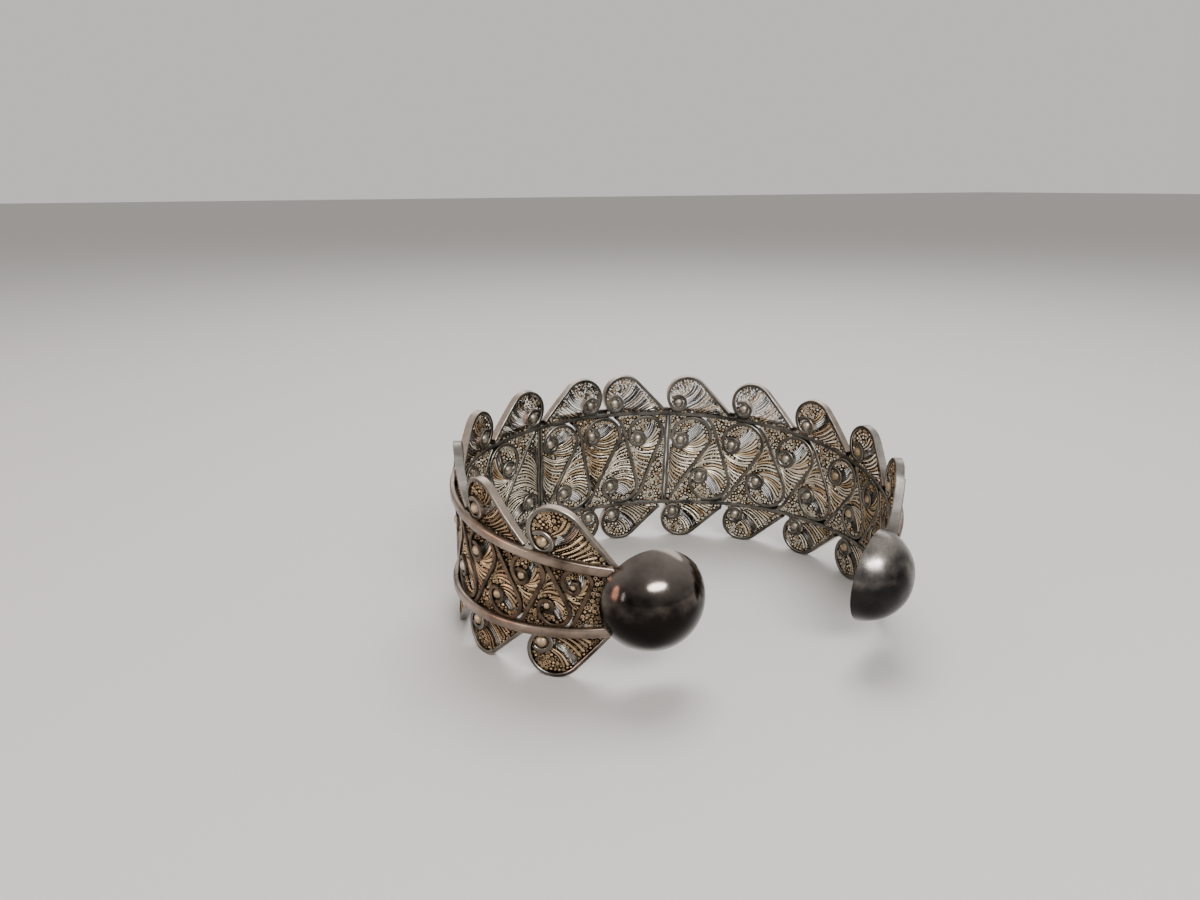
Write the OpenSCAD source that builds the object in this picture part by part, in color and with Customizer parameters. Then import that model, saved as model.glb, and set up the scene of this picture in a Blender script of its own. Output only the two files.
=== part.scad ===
// Filigree cuff bracelet. An open band of silver wirework runs between two rails, with a scalloped
// border of comma-shaped lobes above and below it and a half-ball terminal at each end.
// Lengths are millimetres. The cuff lies on its side, so its axis is nearly upright, and its
// gap faces the front. Places along the band are lengths measured along the inside of the cuff
// from the middle of the back: below 0 on the left side, above 0 on the right side.

/* [Plan of the cuff] */
// Inside radius of the back
back_r = 34.5; // [33:0.5:36]
// Inside radius of the left side
left_r = 19.4; // [19:0.1:20]
// Inside radius of the right side
right_r = 24.6; // [24:0.1:26]
// Inside radius of the last stretch on the right
right_end_r = 22; // [21:0.5:24]
// How far the cuff leans forward as it rests on its lower lobes, in degrees
rest_tilt = 4.6; // [3:0.1:5]
// From the inside of the back to the middle of the whole cuff, sideways
middle_x = 1.1; // [-2:0.05:2]
// From the inside of the back to the middle of the whole cuff, front to back
middle_y = -24.7; // [-26:0.05:-24]

/* [Band] */
// Length of band that one border lobe takes
lobe_pitch = 10.7; // [10.5:0.1:10.9]
// Border lobes from the middle of the back to each terminal
lobes_per_side = 6; // [6]
// Height of a rail above the middle of the band, at the back
field_half_back = 8.2; // [8:0.1:8.6]
// Height of a rail above the middle of the band, at the terminals
field_half_end = 4; // [3.8:0.1:4.4]
// Height of the border's tips above the middle of the band, at the back
border_half = 14.75; // [14.5:0.05:15.2]

/* [Wire] */
// Thickness of the flat wire that the lobes and scrolls are bent from
wire_t = 0.5; // [0.45:0.01:0.55]
// Width of that wire, from the inside of the cuff to the outside
wire_depth = 1.15; // [1:0.05:1.2]
// Thickness of the woven filling
fill_t = 0.4; // [0.35:0.05:0.5]
// Radius of a granule
granule_r = 0.85; // [0.8:0.05:0.9]
// Radius of the wire curl around a granule
curl_r = 1.25; // [1.2:0.05:1.3]
// Clearance between neighbouring pieces
gap = 0.1; // [0.1:0.01:0.12]
// Clearance between a scroll and the next one, in the middle of the wire's width: it is narrower
// on the inside of the cuff
scroll_gap = 0.28; // [0.24:0.01:0.3]

/* [Rails] */
// Height of the strip that covers a rail on the outside
rail_cover_h = 1.4; // [1.2:0.1:1.5]
// Thickness of that strip
rail_cover_t = 0.55; // [0.4:0.05:0.6]
// Height of the rail's web, seen from the inside
rail_web_h = 0.56; // [0.5:0.02:0.6]

/* [Terminals] */
// Radius of the left half-ball at its rim
left_dome_r = 6.75; // [6.6:0.05:6.8]
// Radius of the right half-ball at its rim
right_dome_r = 6.25; // [6.1:0.05:6.3]
// Height of a half-ball over the radius of its rim
dome_rise = 0.85; // [0.8:0.01:1]
// Thickness of its sheet
dome_wall = 0.6; // [0.5:0.05:0.8]
// Place of the left one's middle along the band
left_dome_at = 68.6; // [68.6:0.05:68.8]
// Place of the right one's middle along the band
right_dome_at = 69.15; // [69.1:0.05:69.4]
// How far outside the inside of the band the left one stands, clear of the tails of the lobes
left_dome_seat = 1.25; // [1.25:0.05:1.4]
// Length of each rail on the left, from the middle of the back
left_rail_end = 62.6; // [62:0.1:62.6]
// Length of each rail on the right
right_rail_end = 63.9; // [63:0.1:63.9]

/* [Upright bars] */
// Places of the two upright double wires that part the middle scrolls from the side runs
left_bar_at = -11.6; // [-11.65:0.05:-11.55]
right_bar_at = 11.25; // [11.2:0.05:11.3]
// Thickness of each wire of a bar
bar_wire = 0.38; // [0.3:0.02:0.4]

/* [Hidden] */
back_len = 2 * lobe_pitch;
side_len = 5 * lobe_pitch;
band_half = lobes_per_side * lobe_pitch;
wire_clear = rail_web_h / 2 + gap;
wire_in = wire_clear + wire_t / 2;
fill_from = (wire_depth - fill_t) / 2;
far = 20;
// Length of wire that a curl lacks to be a full ring
curl_opening = 1.65;
// Part of a wire's first straight stretch that its filling leaves free
bare_foot = 0.1;

// Runs of scrolls between the rails. A run has the side that it grows towards, the place where the
// foot of its first wire stands, and its scrolls in order, which hang by turns from the upper and
// the lower rail. A scroll has the place of its granule, the height of its granule above the
// middle of the band, and the radius of its head
SIDE = 0;
FOOT = 1;
ROWS = 2;
AT = 0;
RISE = 1;
RADIUS = 2;
LEFT_RUN = [-1, -12.8, [
    [-13.7, -4.2, 3.35], [-18.1, 2.7, 3.1], [-22.35, -3.2, 3.2], [-26.9, 2.6, 3.2],
    [-31.4, -2.6, 3.1], [-36.0, 2.3, 3.0], [-40.5, -2.3, 2.8], [-44.9, 2.1, 2.6],
    [-49.0, -2.4, 2.4], [-52.8, 1.6, 2.15], [-56.2, -1.7, 1.95], [-59.4, 1.3, 1.7],
]];
MIDDLE_RUN = [1, -10.6, [
    [-9.5, 4.7, 3.1], [-6.85, -4.6, 3.05], [-1.8, 4.7, 3.1], [1.7, -4.7, 3.0], [6.3, 3.7, 2.8],
]];
RIGHT_RUN = [1, 12.1, [
    [13.5, 3.4, 3.2], [17.0, -3.0, 3.3], [22.0, 3.0, 3.3], [26.5, -2.8, 3.3],
    [31.3, 2.4, 3.2], [35.8, -2.8, 3.05], [40.9, 2.5, 2.9], [44.85, -2.2, 2.65],
    [48.9, 2.0, 2.45], [52.6, -1.7, 2.2], [56.0, 1.5, 1.95], [59.3, -1.4, 1.6],
]];

RUNS = [["left", LEFT_RUN], ["middle", MIDDLE_RUN], ["right", RIGHT_RUN]];

// Two scrolls that follow each other are one node
function pairs(run) = ceil(len(run[ROWS]) / 2);
function pair_name(part, i) = str(part, "_scrolls_", i);
function two(n) = n < 10 ? str("0", n) : str(n);
LOBES = [for (i = [1:2 * lobes_per_side]) i];

// Plan of the cuff: three arcs on each side, tangent to each other
function side_of(s) = s < 0 ? -1 : 1;
function arc_radii(s) = s < 0 ? [back_r, left_r, left_r] : [back_r, right_r, right_end_r];
function arc_of(s) = abs(s) <= back_len ? 0 : abs(s) <= side_len ? 1 : 2;
function radius_at(s) = arc_radii(s)[arc_of(s)];
function turn(length, r) = length / r * 180 / PI;
function heading(s) =
    let (a = abs(s), r = arc_radii(s))
    side_of(s) * (
        turn(min(a, back_len), r[0])
        + turn(max(0, min(a, side_len) - back_len), r[1])
        + turn(max(0, a - side_len), r[2])
    );
function outward(angle) = [sin(angle), cos(angle)];
function arc_start(i, s) = side_of(s) * [0, back_len, side_len][i];
function centre(i, s) =
    i == 0
    ? [0, -back_r]
    : centre(i - 1, s)
      + (arc_radii(s)[i - 1] - arc_radii(s)[i]) * outward(heading(arc_start(i, s)));
function plan_point(s, off) =
    centre(arc_of(s), s) + (radius_at(s) + off) * outward(heading(s));

// Heights above the middle of the band
function field_half(s) =
    field_half_back - (field_half_back - field_half_end) * pow(s / band_half, 2);
function tip_half(s) =
    border_half
    + min(plan_point(s, 0).y, plan_point(s, wire_depth).y) * tan(rest_tilt);

// Plane outlines
function around(c, r, angle) = c + r * [cos(angle), sin(angle)];
function arc_points(c, r, from, to, n) =
    [for (i = [0:n]) around(c, r, from + (to - from) * i / n)];
function angle_of(d) = atan2(d.y, d.x);
// A curl's wire, without its first point, from the direction where it touches the head
function curl_points(c, r, meet) =
    let (sweep = 360 - turn(curl_opening, r))
    [for (i = [1:10]) around(c, r, meet + sweep * i / 10)];
function side_step(path, i, d) =
    let (
        a = path[max(i - 1, 0)],
        b = path[min(i + 1, len(path) - 1)],
        along = (b - a) / norm(b - a)
    )
    path[i] + d * [-along.y, along.x];
function strip(path, t) = concat(
    [for (i = [0:len(path) - 1]) side_step(path, i, t / 2)],
    [for (i = [len(path) - 1:-1:0]) side_step(path, i, -t / 2)]
);
// A point of the band as seen along the outward direction at the middle of a piece
function seen(p, mid) =
    let (r = radius_at(mid))
    [(r + wire_depth / 2) * sin(turn(p.x - mid, r)), p.y];
// A wedge-shaped slot that points away from a granule
function slot(from, angle, near, far_end, w_near, w_far) =
    let (d = [cos(angle), sin(angle)], n = [-sin(angle), cos(angle)])
    [
        from + near * d - w_near / 2 * n, from + far_end * d - w_far / 2 * n,
        from + far_end * d + w_far / 2 * n, from + near * d + w_near / 2 * n,
    ];

// The whole cuff leans forward and its origin lies below its middle
module in_place() {
    translate([-middle_x, -middle_y, border_half * cos(rest_tilt)])
        rotate([rest_tilt, 0, 0])
            children();
}

// Turns the outward direction at a place of the band to the back
module at_band(s) {
    c = centre(arc_of(s), s);
    translate([c.x, c.y, 0])
        rotate([0, 0, -heading(s)])
            children();
}

// A plane shape pressed out of a sheet that is bent round the band
module bent(mid, from, thick) {
    r = radius_at(mid);
    intersection() {
        rotate_extrude($fn = 180)
            translate([r + from, -far])
                square([thick, 2 * far]);
        translate([0, r + from + thick + 1, 0])
            rotate([90, 0, 0])
                linear_extrude(thick + 8)
                    children();
    }
}

module granule(p, mid, curl = curl_r) {
    r = radius_at(mid);
    a = turn(p.x - mid, r);
    translate([(r + wire_depth / 2) * sin(a), (r + wire_depth / 2) * cos(a), p.y])
        sphere(min(granule_r, curl - wire_t / 2 - 0.05), $fn = 40);
}

// Border lobes. Their outline has u along the band, from the end nearer the back, and v away
// from the rail. The head is a circle through the tip that the curl touches from the inside
lobe_start = 0.42;
lobe_granule = [2.1, wire_in + curl_r];
lobe_tail = [10.4, 0.72];
lobe_tip_u = 3.6;
function lobe_head_r(h) =
    let (
        a = lobe_start - lobe_granule.x,
        b = h - wire_t / 2 - lobe_granule.y,
        m = b - a - curl_r
    )
    m - sqrt(m * m - a * a - b * b + curl_r * curl_r);
function lobe_head(h) = [lobe_start + lobe_head_r(h), h - wire_t / 2 - lobe_head_r(h)];
function lobe_path(h) =
    let (
        r = lobe_head_r(h),
        c = lobe_head(h),
        leave = angle_of(lobe_tail - c) + acos(r / norm(lobe_tail - c)),
        meet = angle_of(lobe_granule - c) + 360
    )
    concat(
        [lobe_tail, (lobe_tail + around(c, r, leave)) / 2],
        arc_points(c, r, leave, meet, 10),
        curl_points(lobe_granule, curl_r, meet)
    );
// The filling starts inside the tail's wire, a little above its end
function lobe_fill(h) =
    let (path = lobe_path(h))
    concat(
        [(1 - 2 * bare_foot) * path[0] + 2 * bare_foot * path[1]],
        [for (i = [1:12]) path[i]],
        [[lobe_granule.x - 0.8, wire_clear + 0.1], [lobe_tail.x - 0.7, wire_clear + 0.1]]
    );
// Slots of a lobe's filling: direction from the granule and reach
LOBE_SLOTS = [[8, 5.4], [40, 4.2], [76, 4.2]];
slot_near = 2.1;
slot_w = [0.35, 0.8];

module lobe(i, up) {
    side = i <= lobes_per_side ? -1 : 1;
    start = lobe_pitch * (side > 0 ? i - lobes_per_side - 1 : lobes_per_side - i);
    mid = side * (start + lobe_pitch / 2);
    tip_s = side * (start + lobe_tip_u);
    h = tip_half(tip_s) - field_half(tip_s);
    function on_band(p) =
        let (s = side * (start + p.x))
        seen([s, up * (field_half(s) + p.y)], mid);
    g = side * (start + lobe_granule.x);
    at_band(mid) {
        bent(mid, 0, wire_depth)
            polygon([for (p = strip(lobe_path(h), wire_t)) on_band(p)]);
        bent(mid, fill_from, fill_t)
            difference() {
                polygon([for (p = lobe_fill(h)) on_band(p)]);
                for (a = LOBE_SLOTS)
                    polygon([
                        for (p = slot(lobe_granule, a[0], slot_near, a[1], slot_w[0], slot_w[1]))
                            on_band(p)
                    ]);
            }
        granule([g, up * (field_half(g) + lobe_granule.y)], mid);
    }
}

// Scrolls. Their outline has x along the band in the run's direction and y towards the rail at
// their own head. A head is a circle that touches the rail, and its curl touches it from the
// inside. The wire leaves the head on a straight line and comes to the other rail in an arc
// round the head of the scroll before it
function scroll_curl_r(row) = min(curl_r, 0.42 * row[RADIUS]);
function scroll_granule(run, i) =
    let (row = run[ROWS][i])
    [run[SIDE] * row[AT], abs(row[RISE])];
function scroll_head(run, i) =
    let (
        row = run[ROWS][i],
        reach = row[RADIUS] - scroll_curl_r(row),
        y = field_half(row[AT] + run[SIDE] * reach) - wire_in - row[RADIUS],
        dy = y - abs(row[RISE])
    )
    [run[SIDE] * row[AT] + sqrt(reach * reach - dy * dy), y];
// Circle that the wire's foot bends round: a point for the first scroll of a run
function foot_r(run, i) = i == 0 ? 0 : run[ROWS][i - 1][RADIUS] + wire_t + scroll_gap;
function foot_centre(run, i) =
    i == 0
    ? [run[SIDE] * run[FOOT], wire_in - field_half(run[FOOT])]
    : [scroll_head(run, i - 1).x, -scroll_head(run, i - 1).y];
// Where that bend comes to the rail
function foot_angle(run, i) =
    let (c = foot_centre(run, i), r = foot_r(run, i), s = run[SIDE] * (c.x + r / 2))
    -asin((field_half(s) - wire_in + c.y) / r);
function scroll_leave(run, i) =
    let (d = scroll_head(run, i) - foot_centre(run, i))
    angle_of(d) - acos((foot_r(run, i) - run[ROWS][i][RADIUS]) / norm(d));
function scroll_meet(run, i) =
    (angle_of(scroll_granule(run, i) - scroll_head(run, i)) + 360) % 360;
function scroll_top(run, i) =
    arc_points(
        scroll_head(run, i), run[ROWS][i][RADIUS], scroll_leave(run, i), scroll_meet(run, i), 11
    );
function scroll_path(run, i) =
    let (
        c = foot_centre(run, i),
        r = foot_r(run, i),
        g = scroll_granule(run, i)
    )
    concat(
        i == 0
        ? [c]
        : arc_points(c, r, foot_angle(run, i), scroll_leave(run, i), 5),
        scroll_top(run, i),
        curl_points(g, scroll_curl_r(run[ROWS][i]), scroll_meet(run, i))
    );
// The filling ends short of the wire of the scroll before it
function scroll_fill(run, i) =
    let (
        c = foot_centre(run, i),
        leave = scroll_leave(run, i),
        g = scroll_granule(run, i)
    )
    concat(
        [
            i == 0
            ? (1 - bare_foot) * c + bare_foot * scroll_top(run, i)[0]
            : around(c, foot_r(run, i), leave),
        ],
        scroll_top(run, i),
        i == 0
        ? []
        : let (
            r = foot_r(run, i) - wire_t / 2,
            before = -scroll_leave(run, i - 1),
            p = around(c, r, before),
            along = [-sin(before), cos(before)],
            rise = max(0, (g.y - scroll_curl_r(run[ROWS][i]) - p.y) / along.y)
        )
        concat([p + rise * along], arc_points(c, r, before, leave + 6, 4))
    );
small_head = 2.6;

module scroll(run, i) {
    row = run[ROWS][i];
    k = row[RADIUS];
    up = sign(row[RISE]);
    g = scroll_granule(run, i);
    mid = row[AT] + run[SIDE] * 0.6 * k;
    function on_band(p) = seen([run[SIDE] * p.x, up * p.y], mid);
    at_band(mid) {
        bent(mid, 0, wire_depth)
            polygon([for (p = strip(scroll_path(run, i), wire_t)) on_band(p)]);
        bent(mid, fill_from, fill_t)
            difference() {
                polygon([for (p = scroll_fill(run, i)) on_band(p)]);
                for (a = k > small_head ? [-58, 28] : [-6])
                    polygon([
                        for (p = slot(g, a, 0.62 * k, 1.28 * k, 0.11 * k, 0.27 * k)) on_band(p)
                    ]);
            }
        granule([row[AT], row[RISE]], mid, scroll_curl_r(row));
    }
}

module scroll_pair(run, i) {
    color("darkgray")
        in_place()
            for (j = [2 * i - 2:min(2 * i, len(run[ROWS])) - 1])
                scroll(run, j);
}

// Rails: a thin web on the inside and a broad cover strip on the outside, swept along the band
rail_rings = 56;
cover_from = wire_depth + gap;
cover_edge = 0.15;
RAIL_SECTION = [
    [0, rail_web_h / 2],
    [cover_from, rail_web_h / 2],
    [cover_from, rail_cover_h / 2],
    [cover_from + rail_cover_t, rail_cover_h / 2 - cover_edge],
    [cover_from + rail_cover_t, cover_edge - rail_cover_h / 2],
    [cover_from, -rail_cover_h / 2],
    [cover_from, -rail_web_h / 2],
    [0, -rail_web_h / 2],
];
function rail_point(s, q, up) =
    let (p = plan_point(s, q.x))
    [p.x, p.y, up * field_half(s) + q.y];

module rail(up) {
    m = len(RAIL_SECTION);
    rail_length = left_rail_end + right_rail_end;
    stops = [for (i = [0:rail_rings]) rail_length * i / rail_rings - left_rail_end];
    points = [for (s = stops) for (q = RAIL_SECTION) rail_point(s, q, up)];
    sides = [
        for (i = [0:rail_rings - 1])
            for (j = [0:m - 1])
                let (k = (j + 1) % m)
                each [
                    [i * m + j, (i + 1) * m + j, (i + 1) * m + k],
                    [i * m + j, (i + 1) * m + k, i * m + k],
                ]
    ];
    // The web is one rectangle and the cover strip behind it is closed in four triangles
    cap = [[0, 1, 6], [0, 6, 7], [1, 2, 3], [1, 3, 4], [1, 4, 6], [6, 4, 5]];
    last = rail_rings * m;
    ends = [
        for (q = cap)
            each [
                [q[0], q[1], q[2]],
                [last + q[2], last + q[1], last + q[0]],
            ]
    ];
    color("gray")
        in_place()
            polyhedron(points, concat(sides, ends));
}

// Upright double wire of the field
module bar(at) {
    half = field_half(at) - wire_clear;
    web = bar_wire / 2;
    color("silver")
        in_place()
            at_band(at)
                translate([0, radius_at(at), 0]) {
                    for (x = [-1, 1])
                        translate([x * (bar_wire + web) / 2 - bar_wire / 2, 0, -half])
                            cube([bar_wire, wire_depth, 2 * half]);
                    translate([-web, wire_depth / 4, -half])
                        cube([2 * web, wire_depth / 2, 2 * half]);
                }
}

// Half-ball terminals: a cap of sheet over a flat back
function dome_r(side) = side < 0 ? left_dome_r : right_dome_r;
function dome_at(side) = side < 0 ? -left_dome_at : right_dome_at;
function dome_seat(side) = side < 0 ? left_dome_seat : 0;
// Radius of the ball that a cap belongs to, and how far its centre lies below the flat back
function ball_r(side) = dome_r(side) * (1 + dome_rise * dome_rise) / (2 * dome_rise);
function ball_drop(side) = ball_r(side) - dome_rise * dome_r(side);

module dome_place(side) {
    in_place()
        at_band(dome_at(side))
            translate([0, radius_at(dome_at(side)) + dome_seat(side), 0])
                children();
}

module terminal(side) {
    r = ball_r(side);
    color("dimgray")
        dome_place(side)
            difference() {
                translate([0, -ball_drop(side), 0])
                    sphere(r, $fn = 96);
                translate([0, -ball_drop(side), 0])
                    sphere(r - dome_wall, $fn = 96);
                translate([-r - 1, -2 * r, -r - 1])
                    cube([2 * r + 2, 2 * r, 2 * r + 2]);
            }
}

// The flat back fits inside the cap's rim
module terminal_back(side) {
    inner = ball_r(side) - dome_wall;
    deep = ball_drop(side) + dome_wall;
    color("gray")
        dome_place(side)
            rotate([-90, 0, 0])
                cylinder(h = dome_wall, r = sqrt(inner * inner - deep * deep) - gap, $fn = 96);
}

module border_lobe(i, up) {
    color("silver")
        in_place()
            lobe(i, up);
}

rail(1);  // rail_upper
rail(-1);  // rail_lower
bar(left_bar_at);  // left_bar
bar(right_bar_at);  // right_bar
terminal(-1);  // terminal_left
terminal_back(-1);  // terminal_left_back
terminal(1);  // terminal_right
terminal_back(1);  // terminal_right_back
for (i = LOBES) {
    border_lobe(i, 1);
    border_lobe(i, -1);
}
for (run = RUNS)
    for (i = [1:pairs(run[1])])
        scroll_pair(run[1], i);
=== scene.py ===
"""Filigree cuff bracelet: an open band of tarnished silver wirework with two half-ball terminals.

Plane measures are millimetres along the inside of the cuff (s, below 0 on the left side), up the
band (z) and outwards from its inside (d). place() turns them into metres in the row frame.
"""

import math

import bpy
import numpy as np
from mathutils import Matrix, Vector
from mathutils.kdtree import KDTree


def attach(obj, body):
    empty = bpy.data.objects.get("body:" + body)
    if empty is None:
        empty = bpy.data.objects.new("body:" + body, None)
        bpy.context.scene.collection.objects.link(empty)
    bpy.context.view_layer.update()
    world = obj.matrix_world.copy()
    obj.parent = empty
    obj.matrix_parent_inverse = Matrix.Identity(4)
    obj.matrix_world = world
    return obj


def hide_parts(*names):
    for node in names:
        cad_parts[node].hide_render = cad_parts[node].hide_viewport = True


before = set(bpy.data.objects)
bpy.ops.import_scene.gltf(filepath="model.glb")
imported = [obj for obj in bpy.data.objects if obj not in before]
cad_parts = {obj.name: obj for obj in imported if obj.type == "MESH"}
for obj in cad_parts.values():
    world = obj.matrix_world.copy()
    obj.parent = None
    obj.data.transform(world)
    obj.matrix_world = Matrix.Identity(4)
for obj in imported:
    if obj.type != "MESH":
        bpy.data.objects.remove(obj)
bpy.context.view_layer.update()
rng = np.random.default_rng(7)

MM = 0.001

# The band, with the same values as part.scad

BACK_R, LEFT_R, RIGHT_R, RIGHT_END_R = 34.5, 19.4, 24.6, 22.0
REST_TILT = math.radians(4.6)
MIDDLE = (1.1, -24.7)
LOBE_PITCH = 10.7
LOBES_PER_SIDE = 6
FIELD_HALF_BACK, FIELD_HALF_END = 8.2, 4.0
BORDER_HALF = 14.75
WIRE_T, WIRE_DEPTH = 0.5, 1.15
GRANULE_R, CURL_R = 0.85, 1.25
RAIL_WEB_H, RAIL_COVER_H, RAIL_COVER_T = 0.56, 1.4, 0.55
GAP, SCROLL_GAP = 0.1, 0.28
DOME_R, DOME_AT = {-1: 6.75, 1: 6.25}, {-1: -68.6, 1: 69.15}
DOME_SEAT, DOME_RISE, DOME_WALL = {-1: 1.25, 1: 0.0}, 0.85, 0.6
LEFT_BAR_AT, RIGHT_BAR_AT, BAR_WIRE = -11.6, 11.25, 0.38
BACK_LEN, SIDE_LEN = 2 * LOBE_PITCH, 5 * LOBE_PITCH
BAND_HALF = LOBES_PER_SIDE * LOBE_PITCH
WIRE_CLEAR = RAIL_WEB_H / 2 + GAP
WIRE_IN = WIRE_CLEAR + WIRE_T / 2
CURL_OPENING = 1.65

# A run of scrolls: side, place of its first foot, and for each scroll the place and the height of
# its granule and the radius of its head
RUNS = {
    "left": (-1, -12.8, [
        (-13.7, -4.2, 3.35), (-18.1, 2.7, 3.1), (-22.35, -3.2, 3.2), (-26.9, 2.6, 3.2),
        (-31.4, -2.6, 3.1), (-36.0, 2.3, 3.0), (-40.5, -2.3, 2.8), (-44.9, 2.1, 2.6),
        (-49.0, -2.4, 2.4), (-52.8, 1.6, 2.15), (-56.2, -1.7, 1.95), (-59.4, 1.3, 1.7),
    ]),
    "middle": (1, -10.6, [
        (-9.5, 4.7, 3.1), (-6.85, -4.6, 3.05), (-1.8, 4.7, 3.1), (1.7, -4.7, 3.0),
        (6.3, 3.7, 2.8),
    ]),
    "right": (1, 12.1, [
        (13.5, 3.4, 3.2), (17.0, -3.0, 3.3), (22.0, 3.0, 3.3), (26.5, -2.8, 3.3),
        (31.3, 2.4, 3.2), (35.8, -2.8, 3.05), (40.9, 2.5, 2.9), (44.85, -2.2, 2.65),
        (48.9, 2.0, 2.45), (52.6, -1.7, 2.2), (56.0, 1.5, 1.95), (59.3, -1.4, 1.6),
    ]),
}


def outward(h):
    """Plan direction out of the band at heading h."""
    return np.stack([np.sin(h), np.cos(h)], -1)


def plan(s, d):
    """Plan point of the band at s, d outside its inner face."""
    s, d = np.broadcast_arrays(np.asarray(s, float), np.asarray(d, float))
    side = np.where(s < 0, -1.0, 1.0)
    a = np.abs(s)
    r1 = np.where(s < 0, LEFT_R, RIGHT_R)
    r2 = np.where(s < 0, LEFT_R, RIGHT_END_R)
    h1 = BACK_LEN / BACK_R
    h2 = h1 + (SIDE_LEN - BACK_LEN) / r1
    h = side * (
        np.minimum(a, BACK_LEN) / BACK_R
        + np.clip(a - BACK_LEN, 0, SIDE_LEN - BACK_LEN) / r1
        + np.maximum(a - SIDE_LEN, 0) / r2
    )
    c0 = np.zeros(s.shape + (2,)) + np.array([0.0, -BACK_R])
    c1 = c0 + (BACK_R - r1)[..., None] * outward(side * h1)
    c2 = c1 + (r1 - r2)[..., None] * outward(side * h2)
    back, end = a <= BACK_LEN, a > SIDE_LEN
    c = np.where(back[..., None], c0, np.where(end[..., None], c2, c1))
    r = np.where(back, BACK_R, np.where(end, r2, r1))
    return c + (r + d)[..., None] * outward(h), h


def in_place(x, y, z):
    """The band leans forward on its lower lobes; metres in the row frame."""
    c, k = math.cos(REST_TILT), math.sin(REST_TILT)
    return MM * np.stack(
        [x - MIDDLE[0], y * c - z * k - MIDDLE[1], y * k + z * c + BORDER_HALF * c], -1
    )


def place(s, z, d):
    """Points of the band in the row frame."""
    p, _ = plan(s, d)
    return in_place(p[..., 0], p[..., 1], np.broadcast_to(z, p[..., 0].shape))


def field_half(s):
    """Half the height between the rails' middles."""
    return FIELD_HALF_BACK - (FIELD_HALF_BACK - FIELD_HALF_END) * (np.asarray(s) / BAND_HALF) ** 2


def tip_half(s):
    """Height of a lobe's tip, so that the lower ones stand on the floor when the band leans."""
    y = min(float(plan(s, 0)[0][1]), float(plan(s, WIRE_DEPTH)[0][1]))
    return BORDER_HALF + y * math.tan(REST_TILT)


# Mesh making

# Edges sharper than this stay sharp under smooth shading
SHARP_ANGLE = math.radians(38)
GRANULE_SEGMENTS = 14


class Work:
    """Gathers the faces of one piece."""

    def __init__(self):
        self.verts, self.quads, self.mats, self.count = [], [], [], 0

    def add(self, verts, quads, mat):
        """Faces with one material, or one for each."""
        self.verts.append(verts.reshape(-1, 3))
        self.quads.append(np.asarray(quads, int).reshape(-1, 4) + self.count)
        self.mats.append(np.broadcast_to(mat, (len(self.quads[-1]),)).astype(int))
        self.count += len(self.verts[-1])

    def grid(self, verts, mat, closed_u=False):
        """Quads over n by m points, closed along m. The material is one number, a row or a grid."""
        n, m = verts.shape[:2]
        i = np.arange(n if closed_u else n - 1)[:, None]
        j = np.arange(m)[None, :]
        i2, j2 = (i + 1) % n, (j + 1) % m
        quads = np.stack([i * m + j, i2 * m + j, i2 * m + j2, i * m + j2], -1)
        self.add(verts, quads, np.broadcast_to(mat, quads.shape[:2]).ravel())

    def cap(self, ring, mat):
        """Closes a ring of 4, 6 or 8 points with quads."""
        m = len(ring)
        self.add(ring, [[k, k + 1, m - 2 - k, m - 1 - k] for k in range(m // 2 - 1)], mat)

    def piece(self, name, materials, nodes):
        """Makes the object that takes the place of some CAD nodes."""
        verts, quads = np.concatenate(self.verts), np.concatenate(self.quads)
        mesh = bpy.data.meshes.new(name)
        mesh.vertices.add(len(verts))
        mesh.vertices.foreach_set("co", verts.astype(np.float32).ravel())
        mesh.loops.add(4 * len(quads))
        mesh.loops.foreach_set("vertex_index", quads.astype(np.int32).ravel())
        mesh.polygons.add(len(quads))
        mesh.polygons.foreach_set("loop_start", np.arange(0, 4 * len(quads), 4, dtype=np.int32))
        mesh.polygons.foreach_set("material_index", np.concatenate(self.mats).astype(np.int32))
        mesh.polygons.foreach_set("use_smooth", np.ones(len(quads), bool))
        mesh.update(calc_edges=True)
        mesh.validate()
        mesh.set_sharp_from_angle(angle=SHARP_ANGLE)
        for m in materials:
            mesh.materials.append(m)
        obj = bpy.data.objects.new(name, mesh)
        bpy.context.collection.objects.link(obj)
        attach(obj, "root")
        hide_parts(*nodes)
        return obj


def across(path, closed=False):
    """Unit normals of a plane path."""
    p = np.asarray(path, float)
    if closed:
        t = np.roll(p, -1, 0) - np.roll(p, 1, 0)
    else:
        t = np.gradient(p, axis=0)
    t /= np.maximum(np.linalg.norm(t, axis=1, keepdims=True), 1e-9)
    return np.stack([-t[:, 1], t[:, 0]], -1)


def sweep(work, path, section, mat, closed=False):
    """Sweeps a section of (across, depth) points, n by m by 2 or m by 2, along a path in (s, z)."""
    p = np.asarray(path, float)
    sec = np.broadcast_to(np.asarray(section, float), (len(p),) + np.shape(section)[-2:])
    q = p[:, None, :] + sec[..., :1] * across(p, closed)[:, None, :]
    verts = place(q[..., 0], q[..., 1], sec[..., 1])
    work.grid(verts, mat, closed_u=closed)
    if not closed:
        end = np.ravel(mat)[0]
        work.cap(verts[0][::-1], end)
        work.cap(verts[-1], end)


def flat_section(half, d0, d1, edge):
    """Rounded flat wire: half its thickness across, from depth d0 to d1."""
    e = min(edge, half * 0.9)
    return np.array([
        (-half, d0 + e), (-half, d1 - e), (-half + e, d1), (half - e, d1),
        (half, d1 - e), (half, d0 + e), (half - e, d0), (-half + e, d0),
    ])


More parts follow.
